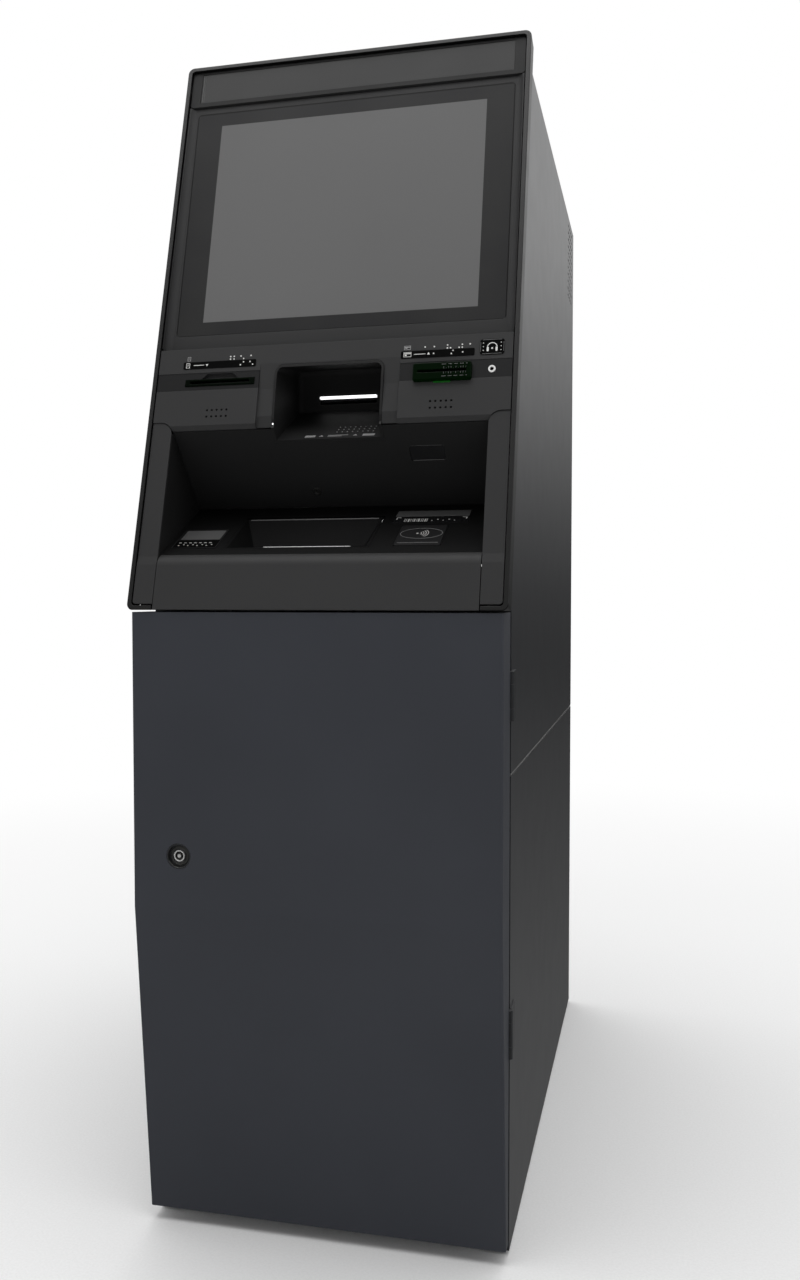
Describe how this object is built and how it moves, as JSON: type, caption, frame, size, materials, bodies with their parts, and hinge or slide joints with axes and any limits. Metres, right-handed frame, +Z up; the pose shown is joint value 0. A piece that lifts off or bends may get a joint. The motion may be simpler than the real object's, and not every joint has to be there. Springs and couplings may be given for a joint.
{
  "type": "atm machine",
  "caption": "Free-standing cash machine: sloping touch-screen fascia that lifts on a top hinge, note recess, card and receipt slots, lower pocket with cash tray, and a hinged door over a safe.",
  "frame": {"origin": "centre of the footprint, on the floor", "axes": "+X to the right of a person facing the screen, +Y from the screen towards the back, +Z up"},
  "size_m": [0.492, 0.9909, 1.5954],
  "materials": {
    "door_paint": "fine satin powder coat",
    "cabinet_paint": "fine satin powder coat",
    "frame_plastic": "fine spark-eroded texture",
    "console_plastic": "fine spark-eroded texture",
    "pocket_plastic": "fine spark-eroded texture",
    "trim_plastic": "satin",
    "topper_panel": "satin, faintly translucent",
    "screen_glass": "black-printed border, anti-glare",
    "display": "display, switched off",
    "green_bezel": "dark green, translucent",
    "card_green": "green, translucent, lit from behind",
    "shelf_plastic": "fine spark-eroded texture",
    "slot_light": "lit light guide",
    "label_black": "printed film",
    "window_dark": "smoked window",
    "lock_steel": "turned face",
    "jack_ring": "white collar",
    "hinge_steel": "black finish",
    "safe_paint": "light grey enamel",
    "zinc_steel": "zinc plated sheet",
    "module_plastic": "moulded",
    "cassette_plastic": "moulded grey",
    "rubber": "moulded",
    "paper": "thermal paper",
    "transport_alloy": "anodised",
    "shutter_plastic": "satin"
  },
  "bodies": {
    "cabinet": {"left_lower_side": "cabinet_paint", "right_lower_side": "cabinet_paint", "left_upper_side": "cabinet_paint", "right_upper_side": "cabinet_paint", "top_cover": "cabinet_paint", "lower_rear_panel": "cabinet_paint", "upper_rear_panel": "cabinet_paint", "base_frame": "hinge_steel", "levelling_feet": "rubber", "safe_body": "safe_paint", "safe_door": "safe_paint", "cash_cassettes": "cassette_plastic", "dispenser_frame": "zinc_steel", "note_transport": "transport_alloy", "note_validator": "module_plastic", "deck_plate": "zinc_steel", "rear_screws": "lock_steel", "upper_frame": "zinc_steel", "computer_unit": "zinc_steel", "fan_housing": "module_plastic", "cable_grommet": "rubber", "lock_strikes": "zinc_steel", "cabinet_hinge_leaves": "hinge_steel"},
    "safe_handle": {"safe_handle": "lock_steel"},
    "safe_dial": {"safe_dial": "lock_steel"},
    "fan_rotor": {"fan_rotor": "module_plastic"},
    "front_door": {"door_skin": "door_paint", "door_stiffener": "zinc_steel", "door_hinge_leaves": "hinge_steel", "door_lock_body": "lock_steel"},
    "door_lock": {"door_lock_cylinder": "lock_steel"},
    "fascia": {"fascia_frame": "frame_plastic", "fascia_chassis": "zinc_steel", "topper_housing": "console_plastic", "topper_lens": "topper_panel", "screen_surround": "console_plastic", "screen_glass": "screen_glass", "display_module": "display", "console_face": "console_plastic", "slot_trim": "trim_plastic", "receipt_bezel": "green_bezel", "card_bezel": "card_green", "jack_socket": "jack_ring", "label_plates": "label_black", "left_cheek": "console_plastic", "right_cheek": "console_plastic", "front_lip": "console_plastic", "pocket_walls": "pocket_plastic", "pocket_shelf": "shelf_plastic", "cash_tray": "shelf_plastic", "recess_liner": "pocket_plastic", "note_slot_light": "slot_light", "receipt_printer": "module_plastic", "card_reader": "module_plastic", "scanner_windows": "window_dark", "shelf_readers": "trim_plastic", "fascia_lock_body": "lock_steel"},
    "cash_shutter": {"cash_shutter": "shutter_plastic"},
    "paper_roll": {"paper_roll": "paper"},
    "fascia_lock": {"fascia_lock_cylinder": "lock_steel"}
  },
  "joints": [
    {"name": "door_swing", "type": "hinge", "parent": "cabinet", "child": "front_door", "pos_m": [0.24, -0.4274, 0.5], "axis": [0, 0, 1], "range_deg": [0, 110]},
    {"name": "door_lock_turn", "type": "hinge", "parent": "front_door", "child": "door_lock", "pos_m": [-0.1777, -0.4724, 0.506], "axis": [0, 1, 0], "range_deg": [0, 90]},
    {"name": "fascia_lift", "type": "hinge", "parent": "cabinet", "child": "fascia", "pos_m": [0, -0.2564, 1.572], "axis": [-1, 0, 0], "range_deg": [0, 70]},
    {"name": "fascia_lock_turn", "type": "hinge", "parent": "fascia", "child": "fascia_lock", "pos_m": [-0.034, -0.35495, 0.98072], "axis": [0, 0.7335, 0.6797], "range_deg": [0, 90]},
    {"name": "shutter_drop", "type": "slide", "parent": "fascia", "child": "cash_shutter", "axis": [0, -0.5604, -0.8282], "range_m": [0, 0.038]},
    {"name": "roll_spin", "type": "hinge", "parent": "fascia", "child": "paper_roll", "pos_m": [-0.165, -0.23959, 1.06279], "axis": [1, 0, 0], "continuous": true},
    {"name": "safe_handle_turn", "type": "hinge", "parent": "cabinet", "child": "safe_handle", "pos_m": [-0.11, -0.4134, 0.5], "axis": [0, 1, 0], "range_deg": [0, 90]},
    {"name": "safe_dial_turn", "type": "hinge", "parent": "cabinet", "child": "safe_dial", "pos_m": [0.11, -0.4134, 0.5], "axis": [0, 1, 0], "continuous": true},
    {"name": "fan_spin", "type": "hinge", "parent": "cabinet", "child": "fan_rotor", "pos_m": [0, 0.4756, 1.44], "axis": [0, 1, 0], "continuous": true}
  ]
}
